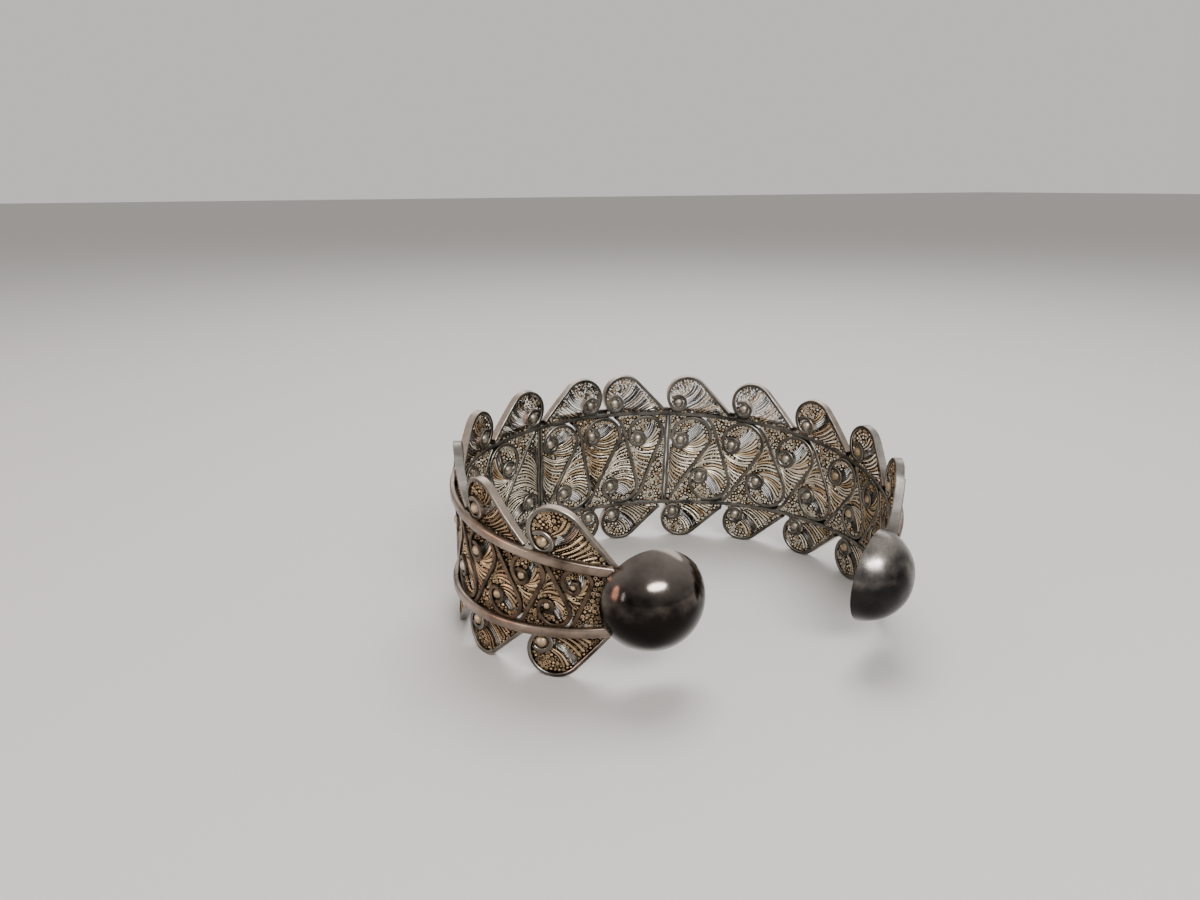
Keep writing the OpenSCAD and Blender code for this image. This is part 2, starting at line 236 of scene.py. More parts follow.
def even(path, step):
    """The same path in even steps."""
    p = np.asarray(path, float)
    run = np.concatenate([[0], np.cumsum(np.linalg.norm(np.diff(p, axis=0), axis=1))])
    n = max(3, int(run[-1] / step) + 1)
    at = np.linspace(0, run[-1], n)
    return np.stack([np.interp(at, run, p[:, 0]), np.interp(at, run, p[:, 1])], -1)


def around(c, r, angle):
    """Points at angles in degrees around c."""
    a = np.radians(angle)
    return np.asarray(c) + r * np.stack([np.cos(a), np.sin(a)], -1)


def angle_of(d):
    """A direction's angle in degrees."""
    return math.degrees(math.atan2(d[1], d[0]))


def ball(work, s, z, d, r, mat):
    """A granule."""
    c, n = place(s, z, d), GRANULE_SEGMENTS
    lat = np.linspace(0, math.pi, n // 2 + 2)[:, None]
    lon = np.linspace(0, 2 * math.pi, n, endpoint=False)[None, :]
    p = c + MM * r * np.stack([
        np.sin(lat) * np.cos(lon), np.sin(lat) * np.sin(lon), np.cos(lat) + 0 * lon
    ], -1)
    work.grid(p, mat)


def inside(points, polygon):
    """Which points lie in a polygon."""
    x, y = points[:, 0][:, None], points[:, 1][:, None]
    a, b = polygon, np.roll(polygon, -1, 0)
    over = (a[None, :, 1] > y) != (b[None, :, 1] > y)
    dy = np.where(b[:, 1] == a[:, 1], 1e-12, b[:, 1] - a[:, 1])
    cut = a[:, 0] + (y - a[:, 1]) * (b[:, 0] - a[:, 0]) / dy
    return (np.sum(over & (x < cut), 1) % 2) == 1


def away(points, lines):
    """Distance of each point from a set of dense point rows."""
    q = np.concatenate(lines)
    tree = KDTree(len(q))
    for k, (x, y) in enumerate(q):
        tree.insert((x, y, 0), k)
    tree.balance()
    return np.array([tree.find((x, y, 0))[2] for x, y in points])


# Filigree

# Materials of a wirework piece, in the order of FILIGREE
# The recess material is painted shade over patina, on the walls of the filling's wires and on the
# sheet under them.
WIRE, WORN_EDGE_GLINT, SILVER, GOLD, RECESS_SHADE, GRAIN, WORN, BROWN, DULL, AMBER, HONEY = range(11)
# Where the filling lies in the wire's width, and how unevenly
FILL_IN, FILL_OUT, UNEVEN = 0.14, 0.78, 0.03
# How far a rib's ridge stands out, how long a turn of twisted wire is, and a plain rib's step
RIDGE, TWIST, RIB_STEP = 0.06, 0.28, 0.17
# Ribs with a half width under THIN are shallower, by THIN_INSET on the inside and the outside.
# THIN_HALF is that of the open parts' wires. Ribs shorter than RIB_MIN are left out.
THIN, THIN_HALF, THIN_INSET = 0.1, 0.08, (0.08, 0.26)
RIB_MIN = 0.4
# Round wire ends: their radius and how far apart they stand
BEADS = ((0.21, 0.49), (0.145, 0.36), (0.07, 0.2))
BEAD_ROOM, CURLET_WIRE = 0.05, 0.055
# Places that are tried for beads: their grid and its jitter, the rows along a rim and their pitch
BEAD_GRID, BEAD_JITTER = 0.13, 0.04
RIM_ROWS, RIM_PITCH = 3, 0.5
# Share of the largest beads that are rings with an end inside, share of plain ends among the rest,
# and how the sizes spread
RING_SHARE, ROUND_SHARE, BEAD_SPREAD = 0.45, 0.7, (0.86, 1.08)
# Rows of points that the filling keeps clear of: their step, how far inside a flat wire's faces
# they run, and the circles that stand for a granule
DENSE, FACE_IN, GRANULE_ROWS = 0.08, 0.06, (0.3, 0.7)
# A sheet of painted shade under the filling's wires: its depth and its step
SHADE_SHEET_DEPTH, SHADE_SHEET_STEP = 0.4, 0.26


def pick_tone(choice):
    """One material of several, so that neighbouring wires differ."""
    return int(rng.choice(choice)) if isinstance(choice, tuple) else choice


def shade_sheet(work, region, to_sz, openings=(), holes=()):
    """A thin dark sheet of painted shade under a region's wires, left out where the filling is
    open.
    """
    low, high = region.min(0), region.max(0)
    xs = np.arange(low[0], high[0] + SHADE_SHEET_STEP, SHADE_SHEET_STEP)
    ys = np.arange(low[1], high[1] + SHADE_SHEET_STEP, SHADE_SHEET_STEP)
    gx, gy = np.meshgrid(xs, ys, indexing="ij")
    verts = to_sz(np.stack([gx, gy], -1))
    middle = np.stack([(gx[:-1, :-1] + gx[1:, 1:]) / 2, (gy[:-1, :-1] + gy[1:, 1:]) / 2], -1)
    flat = middle.reshape(-1, 2)
    keep = inside(flat, region)
    for polygon in openings:
        keep &= ~inside(flat, polygon)
    for centre, radius in holes:
        keep &= np.linalg.norm(flat - centre, axis=1) > radius
    m = len(ys)
    i, j = np.divmod(np.flatnonzero(keep), m - 1)
    quads = np.stack([i * m + j, (i + 1) * m + j, (i + 1) * m + j + 1, i * m + j + 1], -1)
    used, index = np.unique(quads, return_inverse=True)
    if len(used):
        points = verts.reshape(-1, 2)[used]
        depth = SHADE_SHEET_DEPTH + rng.uniform(-UNEVEN, UNEVEN, len(used))
        work.add(place(points[:, 0], points[:, 1], depth), index.reshape(-1, 4), RECESS_SHADE)


def rib(work, p, q, bend, half, to_sz, inner, outer, twisted):
    """A leaf-shaped wire from p to q: walls dark with painted shade, a bright ridge on both sides.
    """
    p, q = np.asarray(p, float), np.asarray(q, float)
    along = q - p
    length = float(np.linalg.norm(along))
    if length < RIB_MIN:
        return None
    n = np.array([-along[1], along[0]]) / length
    step = TWIST / 3 if twisted else RIB_STEP
    t = np.linspace(0, 1, max(6, int(length / step)))
    line = p + along * t[:, None] + (n * bend * length) * np.sin(math.pi * t)[:, None]
    swell = half * (0.4 + 0.6 * t ** 0.8)
    for to_end in (1 - t, t):
        e = np.clip(to_end * length / half, 0, 1)
        swell = swell * np.sqrt(np.maximum(1 - (1 - e) ** 2, 0.02))
    lift = rng.uniform(-UNEVEN, 0.05) + np.zeros(len(t))
    if twisted:
        wave = np.cos(2 * math.pi * t * length / TWIST)
        swell, lift = swell * (1 + 0.25 * wave), lift - UNEVEN * wave
    low, high = FILL_IN + lift, FILL_OUT - lift
    if half < THIN:
        low, high = low + THIN_INSET[0], high - THIN_INSET[1]
    zero = np.zeros(len(t))
    section = np.stack([
        np.stack([-swell, low + RIDGE], -1), np.stack([-swell, high - RIDGE], -1),
        np.stack([zero, high], -1), np.stack([swell, high - RIDGE], -1),
        np.stack([swell, low + RIDGE], -1), np.stack([zero, low], -1),
    ], 1)
    inner, outer = pick_tone(inner), pick_tone(outer)
    sweep(work, to_sz(line), section, [RECESS_SHADE, outer, outer, RECESS_SHADE, inner, inner])
    return line


def stub(work, c, r, to_sz, inner, outer, crown=0.05, n=7):
    """The round end of a wire, seen on both sides of the filling."""
    inner, outer = pick_tone(inner), pick_tone(outer)
    rows = [(0.02, FILL_OUT), (r * 0.65, FILL_OUT - crown * 0.3), (r, FILL_OUT - crown),
            (r, FILL_IN + crown), (r * 0.65, FILL_IN + crown * 0.3), (0.02, FILL_IN)]
    # Its side is dark with painted shade.
    mats = [outer, outer, RECESS_SHADE, inner, inner]
    if n < 6:
        rows, mats = [rows[0], rows[2], rows[3], rows[5]], [outer, RECESS_SHADE, inner]
    lon = np.linspace(0, 360, n, endpoint=False) + rng.uniform(0, 60)
    points = np.stack([to_sz(around(c, k, lon)) for k, _ in rows])
    depth = np.array([d for _, d in rows])[:, None] + rng.uniform(-UNEVEN, UNEVEN)
    verts = place(points[..., 0], points[..., 1], np.broadcast_to(depth, points.shape[:2]))
    work.grid(verts, np.array(mats)[:, None])


def curlet(work, c, r, to_sz, inner, outer):
    """A small ring of wire."""
    loop = around(c, r, rng.uniform(0, 360) + np.linspace(0, 360, 8, endpoint=False))
    low = FILL_IN + rng.uniform(-UNEVEN, 2 * UNEVEN)
    high = FILL_OUT - rng.uniform(-UNEVEN, 2 * UNEVEN)
    k = CURLET_WIRE
    section = np.array([(-k, low), (-k, high), (k, high), (k, low)])
    # Its walls are dark with painted shade.
    mats = [RECESS_SHADE, pick_tone(outer), RECESS_SHADE, pick_tone(inner)]
    sweep(work, to_sz(loop), section, mats, closed=True)


def scatter(work, region, lines, to_sz, inner, outer, rows=(), holes=()):
    """Fills a region with curlets, beads and specks: first along rows, then wherever is room."""
    low, high = region.min(0), region.max(0)
    gx, gy = np.meshgrid(*(np.arange(a, b, BEAD_GRID) for a, b in zip(low, high)))
    loose = np.stack([gx.ravel(), gy.ravel()], -1) + rng.normal(0, BEAD_JITTER, (gx.size, 2))
    rng.shuffle(loose)
    pts = np.concatenate([np.asarray(r, float) for r in rows] + [loose])
    pts = pts[inside(pts, region)]
    for centre, radius in holes:
        pts = pts[np.linalg.norm(pts - centre, axis=1) > radius]
    if not len(pts):
        return
    room = away(pts, lines)
    largest, smallest = BEADS[0][0], BEADS[-1][0]
    for r, apart in BEADS:
        if r == smallest:
            free = room > r + BEAD_ROOM
            pts, room = pts[free], room[free]
        for k in range(len(pts)):
            if room[k] <= r + BEAD_ROOM:
                continue
            c = pts[k]
            room = np.minimum(room, np.linalg.norm(pts - c, axis=1) - apart + r + BEAD_ROOM)
            size = r * rng.uniform(*BEAD_SPREAD)
            if r == smallest:
                stub(work, c, size, to_sz, inner, outer, 0.02, 5)
            elif r == largest and rng.uniform() < RING_SHARE:
                curlet(work, c, size, to_sz, inner, outer)
                stub(work, c, size * 0.45, to_sz, inner, outer)
            elif rng.uniform() < ROUND_SHARE:
                stub(work, c, size, to_sz, inner, outer, 0.7 * r)
            else:
                curlet(work, c, size, to_sz, inner, outer)


def fan(work, starts, ends, bends, halves, to_sz, inner, outer, twisted):
    """Ribs side by side. Returns dense points of them."""
    lines = []
    for p, q, bend, half in zip(starts, ends, bends, halves):
        q = np.asarray(q) + rng.normal(0, UNEVEN, 2)
        thin = half < THIN
        # Thin wires show the lighter worn-edge metal, with its painted highlight, on their outer
        # side.
        line = rib(work, p, q, bend * rng.uniform(0.8, 1.2), half * rng.uniform(0.9, 1.1), to_sz,
                   WIRE if thin else inner, WORN_EDGE_GLINT if thin else outer, twisted and not thin)
        if line is not None:
            line = even(line, 0.1)
            lines += [line + k * half * across(line) for k in (-0.8, 0.8)]
    return lines


def walls(half_side=0, outside=WIRE):
    """Materials of a flat wire's eight faces, the bevels lighter as worn edges with a painted
    highlight, with another one on its wall at half_side.
    """
    mats = [WIRE, WORN_EDGE_GLINT] * 4
    if half_side:
        for k in (0, 1) if half_side < 0 else (3, 4):
            mats[k] = outside
    return mats


def flat_wire(work, path, to_sz, mats):
    """The flat wire of a frame."""
    sweep(work, to_sz(even(path, 0.22)), flat_section(WIRE_T / 2, 0.0, WIRE_DEPTH, 0.07), mats)


# Scrolls between the rails

# The bar that stands before a run, half its width, where the field after a run ends, and how far
# its filling reaches past a terminal's rim
BAR_BEFORE = {"left": LEFT_BAR_AT, "middle": LEFT_BAR_AT, "right": RIGHT_BAR_AT}
BAR_HALF = 0.56
FIELD_END = {"left": 63.4, "middle": RIGHT_BAR_AT - BAR_HALF, "right": 64.4}
PAST_RIM = {-1: 1.0, 1: 0.45}
# Left of LEFT_END the frames are brown and the filling is darker. Farther out than DARK_FROM the
# filling has its outer tones inside too. Ribs are twisted from there to PLAIN_FROM on the left and
# at the back. Farther out than HONEY_FROM the granules are darker.
LEFT_END, DARK_FROM, PLAIN_FROM, HONEY_FROM = -40, 50, 4, 42
# The one scroll with a golden filling
GOLDEN = ("middle", 2)
# Half the width of a rib: left of BROAD_BEFORE, from there to PLAIN_FROM, and right of that
BROAD_BEFORE = -45
PETAL_LEFT, PETAL_BACK, PETAL_RIGHT = 0.2, 0.13, 0.175


def tones(s, golden=False):
    """Materials of a filling's inner and outer side at s, and whether its ribs are twisted."""
    if golden:
        return (GOLD, GOLD, SILVER), GOLD, True
    ends = (GOLD, GOLD, AMBER, AMBER) if s < LEFT_END else (GOLD, GOLD, GOLD, GRAIN)
    inner = ends if abs(s) > DARK_FROM else (SILVER, SILVER, SILVER, SILVER, GOLD)
    return inner, ends, -DARK_FROM < s < PLAIN_FROM


def petal(s):
    """Half the width of a rib at s."""
    return PETAL_LEFT if s < BROAD_BEFORE else PETAL_BACK if s < PLAIN_FROM else PETAL_RIGHT


class Scroll:
    """One scroll in its own plane frame: x along the run, y towards the rail at its head."""

    def __init__(self, run, i):
        self.run = run
        self.side, foot, rows = RUNS[run]
        at, rise, self.r = rows[i]
        self.up = 1 if rise > 0 else -1
        self.curl = min(CURL_R, 0.42 * self.r)
        self.g = np.array([self.side * at, abs(rise)])
        reach = self.r - self.curl
        y = float(field_half(at + self.side * reach)) - WIRE_IN - self.r
        dy = y - abs(rise)
        self.c = np.array([self.side * at + math.sqrt(reach ** 2 - dy ** 2), y])
        self.meet = angle_of(self.g - self.c) % 360
        self.before = Scroll(run, i - 1) if i else None
        if self.before:
            self.foot_r = self.before.r + WIRE_T + SCROLL_GAP
            self.foot_c = self.before.c * [1, -1]
        else:
            self.foot_r = 0.0
            self.foot_c = np.array([self.side * foot, WIRE_IN - float(field_half(foot))])
        d = self.c - self.foot_c
        self.leave = angle_of(d) - math.degrees(
            math.acos((self.foot_r - self.r) / float(np.linalg.norm(d)))
        )

    def to_sz(self, p):
        return np.asarray(p) * [self.side, self.up]

    def foot(self):
        """The wire from the rail to where it leaves its foot's bend."""
        if not self.before:
            return self.foot_c[None]
        s = self.side * (self.foot_c[0] + self.foot_r / 2)
        drop = (float(field_half(s)) - WIRE_IN + self.foot_c[1]) / self.foot_r
        return around(self.foot_c, self.foot_r, np.linspace(-math.degrees(math.asin(drop)),
                                                            self.leave, 16))

    def head(self, stop=None):
        """The wire's large bend, up to its curl or to another angle."""
        end = self.meet if stop is None else stop
        return around(self.c, self.r, np.linspace(self.leave, end, 40))

    def ring(self):
        """The curl around the granule."""
        sweep_deg = 360 - math.degrees(CURL_OPENING / self.curl)
        return around(self.g, self.curl, self.meet + np.linspace(0, sweep_deg, 30)[1:])

    def wire(self):
        return np.concatenate([self.foot(), self.head(), self.ring()])

    def leave_point(self):
        return around(self.c, self.r, self.leave)

    def left_side(self):
        """The cell's left boundary, downwards from beside the curl."""
        level = self.g[1] - self.curl
        if not self.before:
            bar = self.side * BAR_BEFORE[self.run] + BAR_HALF
            return np.array([[bar, level], [bar, self.foot_c[1]]])
        turn = -self.before.leave
        r = self.foot_r - WIRE_T / 2 - SCROLL_GAP + 0.04
        arc = around(self.foot_c, r, np.linspace(turn, self.leave, 12))
        arc = arc[arc[:, 1] > self.foot()[0][1]]
        rise = around([0, 0], 1, turn + 90)
        top = arc[0] + rise * max(0, (level - arc[0][1]) / rise[1])
        return np.concatenate([top[None], arc])

    def region(self):
        """The cell: between the left boundary, the foot and the head."""
        return np.concatenate([self.foot()[3:], self.head(), self.left_side()])

    def corner(self):
        """Left of the head: its outer side, the rail and the wire of the scroll before it."""
        b = self.before
        if b:
            left = np.concatenate([b.foot(), b.leave_point()[None]]) * [1, -1]
        else:
            bar = self.side * BAR_BEFORE[self.run] + BAR_HALF
            left = np.array([[bar, self.c[1] + self.r], [bar, self.g[1]]])
        xs = np.linspace(self.c[0], left[0][0], 10)
        rail = np.stack([xs, field_half(xs) - WIRE_CLEAR], -1)
        return np.concatenate([rail, left, [self.g, self.c]])

    def beyond(self):
        """Right of the last scroll of a run, up to the bar or under the terminal."""
        foot, top = self.foot(), self.head(stop=90)
        limit = FIELD_END[self.run]
        y = np.linspace(1, -1, 12)
        if self.run == "middle":
            x = np.full(12, limit)
        else:
            half = DOME_R[self.side]
            rim = abs(DOME_AT[self.side]) - np.sqrt(half ** 2 - (FIELD_HALF_END * y) ** 2)
            x = np.minimum(limit, rim + PAST_RIM[self.side])
        right = np.stack([x, y * (field_half(x) - WIRE_CLEAR)], -1)
        return np.concatenate([right, foot, top])


def scroll_lines(sc):
    """Where its wires run, for the filling to keep clear of."""
    wire = even(sc.wire(), DENSE)
    lines = [wire] + [around(sc.g, r, np.linspace(0, 360, 40)) for r in (*GRANULE_ROWS, sc.curl)]
    lines.append(around(sc.g, sc.curl + WIRE_T / 2, np.linspace(0, 360, 60)))
    lines += [wire + off * (WIRE_T / 2 - FACE_IN) * across(wire) for off in (-1, 1)]
    return lines


# Part of a fan that is open, with thin lines only, and how close these stand
OPEN_PART, THIN_PITCH = 0.13, 0.25
# How far a fan goes down the tail, how much of the cell's left side its feet take, and the room
# between its ends and the frame
FAN_REACH, FAN_FOCUS, RIM_ROW = 0.92, 0.55, 0.5
# Where the ribs' ends begin on the head and how far before its tail they stop, and the curl's part
# that their feet stand on, in degrees
FAN_HEAD, FAN_CURL = (74, 14), (48, -84)
# Step of the places for ribs, the gap between two ribs, and how far they keep off the frame
FAN_STEP, RIB_GAP, FRAME_ROOM = 0.04, 0.36, 0.06


def picks(length, first, last, pitch):
    """Places of ribs along a way of some length: close ones from first to last, for thin wires."""
    parts = [(0, first, pitch), (first, last, THIN_PITCH), (last, 1, pitch)]
    return np.concatenate([
        np.linspace(a, b, max(1, round((b - a) * length / step)), endpoint=b == 1)
        for a, b, step in parts if b > a
    ])


def scroll_ribs(work, sc, inner, outer, twisted):
    """A fan from the curl to the rim and, down the tail, from its left boundary to its wire.

    Returns where its ribs run and the outline of its open part.
    """
    rim = sc.r - WIRE_T / 2 - RIM_ROW
    if sc.before:
        tail = around(sc.foot_c, sc.foot_r - WIRE_T / 2 - FRAME_ROOM, [sc.leave])
    else:
        tail = sc.foot_c[None] + [-0.3, 0.5]
    ends = even(np.concatenate([
        around(sc.c, rim, np.linspace(FAN_HEAD[0], sc.leave + FAN_HEAD[1], 24)),
        around(sc.c, sc.r - WIRE_T / 2 - FRAME_ROOM, [sc.leave]), tail,
    ]), FAN_STEP)
    side = even(sc.left_side() + [0.1 if sc.before else FRAME_ROOM, 0.05], FAN_STEP)
    side = side[side[:, 1] < sc.g[1] - sc.curl - 0.3]
    off = sc.curl + WIRE_T / 2 + FRAME_ROOM
    curl = even(around(sc.g, off, np.linspace(*FAN_CURL, 12)), FAN_STEP)
    starts = np.concatenate([curl, side])
    half = petal(sc.side * sc.c[0])
    length = FAN_REACH * FAN_STEP * len(ends)
    pick = picks(length, 0, OPEN_PART, RIB_GAP + 2 * half)
    e = ends[(pick * FAN_REACH * (len(ends) - 1)).astype(int)]
    low = np.argmax(ends[:, 1] < sc.g[1] - sc.curl) / len(ends) / FAN_REACH + 0.1
    down = np.clip((pick - low) / (1 - low), 0, 1) ** 1.25 * FAN_FOCUS * (len(side) - 1)
    beside = np.interp(pick, [0, OPEN_PART, low], [0, 0.55, 1]) * len(curl)
    s = starts[(beside + down).astype(int)]
    bends = np.interp(pick, [0, low, 1], [-0.06, -0.14, -0.12])
    halves = np.interp(pick, [0.2, 0.5, 1], [0.9, 1, 0.7]) * half
    halves = np.where(pick < OPEN_PART, THIN_HALF, halves)
    thin = pick < OPEN_PART + 0.02
    opening = np.concatenate([s[thin], e[thin][::-1]])
    return fan(work, s, e, bends, halves, sc.to_sz, inner, outer, twisted), opening


def rim_rows(c, r, start, stop):
    """Rows of places for curlets along the inside of a head."""
    rows = []
    for k in range(RIM_ROWS):
        rr = r - WIRE_T / 2 - BEADS[0][0] - BEAD_ROOM - 0.02 - RIM_PITCH * k
        n = max(3, int(math.radians(abs(stop - start)) * rr / BEADS[0][1]))
        rows.append(around(c, rr, np.linspace(start, stop, n)))
    return rows


def scroll_piece(run, i):
    """Two neighbouring scrolls of a run, their filling and that of the corners beside them."""
    work = Work()
    rows = RUNS[run][2]
    for j in range(2 * i - 2, min(2 * i, len(rows))):
        sc = Scroll(run, j)
        s = sc.side * sc.c[0]
        inner, outer, twisted = tones(s, (run, j) == GOLDEN)
        frame_mats = walls()
        if s < LEFT_END:
            frame_mats[1:4] = [BROWN] * 3
        flat_wire(work, sc.wire(), sc.to_sz, frame_mats)
        g = sc.to_sz(sc.g)
        grain = HONEY if abs(s) > HONEY_FROM else GRAIN
        ball(work, g[0], g[1], WIRE_DEPTH / 2, min(GRANULE_R, sc.curl - WIRE_T / 2 - 0.02), grain)
        wires = scroll_lines(sc)
        ribs, opening = scroll_ribs(work, sc, inner, outer, twisted)
        curl = [(sc.g, sc.curl)]
        shade_sheet(work, sc.region(), sc.to_sz, [opening], curl)
        rim = rim_rows(sc.c, sc.r, sc.leave + 4, sc.meet - 20)
        scatter(work, sc.region(), wires + ribs, sc.to_sz, inner, outer, rim)
        if sc.before:
            wires.append(even(sc.before.wire() * [1, -1], DENSE))
        head = [(sc.c, sc.r + 0.1)]
        scatter(work, sc.corner(), wires, sc.to_sz, inner, outer, holes=head)
        shade_sheet(work, sc.corner(), sc.to_sz, holes=head)
        if j == len(rows) - 1:
            scatter(work, sc.beyond(), wires, sc.to_sz, inner, outer, holes=head)
            shade_sheet(work, sc.beyond(), sc.to_sz, holes=head)
    work.piece(f"{run}_scrolls_{i}_work", FILIGREE, [f"{run}_scrolls_{i}"])


# Border lobes

LOBE_START = 0.42
LOBE_GRANULE = np.array([2.1, WIRE_IN + CURL_R])
LOBE_TAIL = np.array([10.4, 0.72])
LOBE_TIP_U = 3.6
# A lobe's fan: its open part, its ends on the head and its feet on the curl in degrees, the gap
# between its ribs, and the share of lobes with twisted ones
LOBE_OPEN, LOBE_ENDS, LOBE_FEET = (0.18, 0.32), (66, 10), (48, -30)
LOBE_RIB_GAP, LOBE_TWISTED = 0.26, 0.6
# The upper lobes at the back have no sheet of painted shade: one sees through all of their filling
AIRY = range(4, 10)
# Lobes on the turned sides of the band, whose outer walls are duller
TURNED = (3, 11, 12)


class Lobe:
    """One comma-shaped lobe: u along the band, v away from the rail."""

    def __init__(self, i, up):
        self.up = up
        self.side = -1 if i <= LOBES_PER_SIDE else 1
        self.start = LOBE_PITCH * (
            i - LOBES_PER_SIDE - 1 if self.side > 0 else LOBES_PER_SIDE - i
        )
        tip_s = self.side * (self.start + LOBE_TIP_U)
        self.h = h = tip_half(tip_s) - float(field_half(tip_s))
        a = LOBE_START - LOBE_GRANULE[0]
        b = h - WIRE_T / 2 - LOBE_GRANULE[1]
        m = b - a - CURL_R
        self.r = m - math.sqrt(m * m - a * a - b * b + CURL_R ** 2)
        self.c = np.array([LOBE_START + self.r, h - WIRE_T / 2 - self.r])
        d = LOBE_TAIL - self.c
        self.leave = angle_of(d) + math.degrees(math.acos(self.r / float(np.linalg.norm(d))))
        self.meet = angle_of(LOBE_GRANULE - self.c) + 360

    def to_sz(self, p):
        p = np.asarray(p, float)
        s = self.side * (self.start + p[..., 0])
        return np.stack([s, self.up * (field_half(s) + p[..., 1])], -1)

    def frame(self):
        head = around(self.c, self.r, np.linspace(self.leave, self.meet, 44))
        return np.concatenate([LOBE_TAIL[None], head])

    def wire(self):
        sweep_deg = 360 - math.degrees(CURL_OPENING / CURL_R)
        ring = around(LOBE_GRANULE, CURL_R, self.meet + np.linspace(0, sweep_deg, 30)[1:])
        return np.concatenate([self.frame(), ring])

    def region(self):
        low = WIRE_CLEAR - 0.05
        return np.concatenate([self.frame(), [[LOBE_START + 0.2, low], [LOBE_TAIL[0], low]]])


def lobe_piece(i, up):
    """A lobe of the upper or the lower border, with its filling."""
    lobe = Lobe(i, up)
    work = Work()
    flat_wire(work, lobe.wire(), lobe.to_sz, walls(-lobe.side * up, DULL if i in TURNED else WORN))
    g = lobe.to_sz(LOBE_GRANULE)
    ball(work, g[0], g[1], WIRE_DEPTH / 2, GRANULE_R, HONEY if lobe.start > HONEY_FROM else GRAIN)
    inner, outer, _ = tones(lobe.side * (lobe.start + LOBE_PITCH / 2))
    rim = lobe.r - WIRE_T / 2
    ends = np.concatenate([
        around(lobe.c, rim - RIM_ROW, np.linspace(LOBE_ENDS[0], lobe.leave + LOBE_ENDS[1], 16)),
        around(lobe.c, rim - 0.08, [lobe.leave]), [LOBE_TAIL - [1.4, 0.1]],
    ])
    starts = np.concatenate([
        around(LOBE_GRANULE, CURL_R + WIRE_T / 2 + FRAME_ROOM, np.linspace(*LOBE_FEET, 10)),
        [[LOBE_GRANULE[0] + 2.6, WIRE_CLEAR + 0.12], [LOBE_TAIL[0] - 2.6, WIRE_CLEAR + 0.12]],
    ])
    ends, starts = even(ends, FAN_STEP), even(starts, FAN_STEP)
    half = petal(lobe.side * lobe.start) * 0.9
    pick = picks(FAN_STEP * len(ends), *LOBE_OPEN, LOBE_RIB_GAP + 2 * half)
    e = ends[(pick * (len(ends) - 1)).astype(int)]
    s = starts[(pick ** 1.25 * (len(starts) - 1)).astype(int)]
    bends = np.interp(pick, [0, 0.5, 1], [-0.12, -0.08, 0.05])
    thin = (pick >= LOBE_OPEN[0]) & (pick <= LOBE_OPEN[1])
    airy = up > 0 and i in AIRY
    if airy:
        # Their inner side mixes in the lighter worn-edge metal, with its painted highlight.
        inner = (SILVER, GOLD, WORN_EDGE_GLINT, WIRE)
    ribs = fan(work, s, e, bends, np.where(thin, THIN_HALF, half), lobe.to_sz, inner, outer,
               rng.uniform() < LOBE_TWISTED)
    if not airy:
        opening = np.concatenate([s[thin], e[thin][::-1]])
        shade_sheet(work, lobe.region(), lobe.to_sz, [opening], [(LOBE_GRANULE, CURL_R)])
    wire = even(lobe.wire(), DENSE)
    wires = [wire] + [around(LOBE_GRANULE, r, np.linspace(0, 360, 60))
                      for r in (*GRANULE_ROWS, CURL_R, CURL_R + WIRE_T / 2)]
    wires += [wire + off * (WIRE_T / 2 - FACE_IN) * across(wire) for off in (-1, 1)]
    rows = rim_rows(lobe.c, lobe.r, lobe.leave + 6, lobe.meet - 15)
    scatter(work, lobe.region(), wires + ribs, lobe.to_sz, inner, outer, rows)
    place_name = f"{'upper' if up > 0 else 'lower'}_lobe_{i:02d}"
    work.piece(place_name + "_work", FILIGREE, [place_name])


# Rails, bars and terminals

# Where the strips end inside the terminals
STRIP_END = {-1: -63.9, 1: 65.2}
# Half the distance between a bar's wires, and how far and how fast they waver
BAR_APART, BAR_WAVER, BAR_WAVER_TURN = 0.285, 0.03, 1.3
# How many dents a terminal has
DENTS = 18
# Each terminal's strap: how far it reaches up the last lobe's tail and into the terminal, half its
# thickness, its place off the tail's middle, its depths and its flare. The left one is the tail's
# own end.
STRAPS = {
    -1: (0.05, 2.4, WIRE_T / 2, 0.0, (0.0, WIRE_DEPTH), 0.0),
    1: (6.2, 2.6, 0.14, WIRE_T / 2 + 0.14, (0.05, 1.3), 1.0),
}
FLARE_FROM, FLARE_LEN, FLARE_HALF, FLARE_DEPTH = 0.9, 1.9, 0.8, 0.25


def rail_piece(up):
    """A thin web on the inside and a broad rounded cover strip on the outside."""
    s = np.linspace(STRIP_END[-1], STRIP_END[1], 360)
    web, cover = RAIL_WEB_H / 2, RAIL_COVER_H / 2
    c0 = WIRE_DEPTH + 0.02
    c1 = WIRE_DEPTH + GAP + RAIL_COVER_T
    section = np.array([
        (-web + 0.08, 0), (-web, 0.08), (-web, c0), (-cover, c0), (-cover, c1 - 0.22),
        (-cover + 0.1, c1 - 0.08), (-cover + 0.3, c1), (cover - 0.3, c1), (cover - 0.1, c1 - 0.08),
        (cover, c1 - 0.22), (cover, c0), (web, c0), (web, 0.08), (web - 0.08, 0),
    ])
    mats = np.array([1] * 3 + [0] * 7 + [1] * 4)
    z = up * field_half(s)[:, None] + section[None, :, 0]
    verts = place(np.broadcast_to(s[:, None], z.shape), z, section[None, :, 1])
    work = Work()
    work.grid(verts, mats)
    work.cap(verts[0][::-1], 0)
    work.cap(verts[-1], 0)
    name = "rail_upper" if up > 0 else "rail_lower"
    work.piece(name + "_strip", [RAIL, WIRE_METAL], [name])


def bar_piece(name, at):
    """Two upright wires side by side."""
    work = Work()
    half = float(field_half(at)) - RAIL_WEB_H / 2
    z = np.linspace(-half, half, 40)
    for x in (-1, 1):
        s = at + x * BAR_APART + BAR_WAVER * np.sin(z * BAR_WAVER_TURN + x)
        path = np.stack([s, z], -1)
        sweep(work, path, flat_section(BAR_WIRE / 2, 0, WIRE_DEPTH, 0.09), walls())
    work.piece(name + "_wires", FILIGREE, [name])


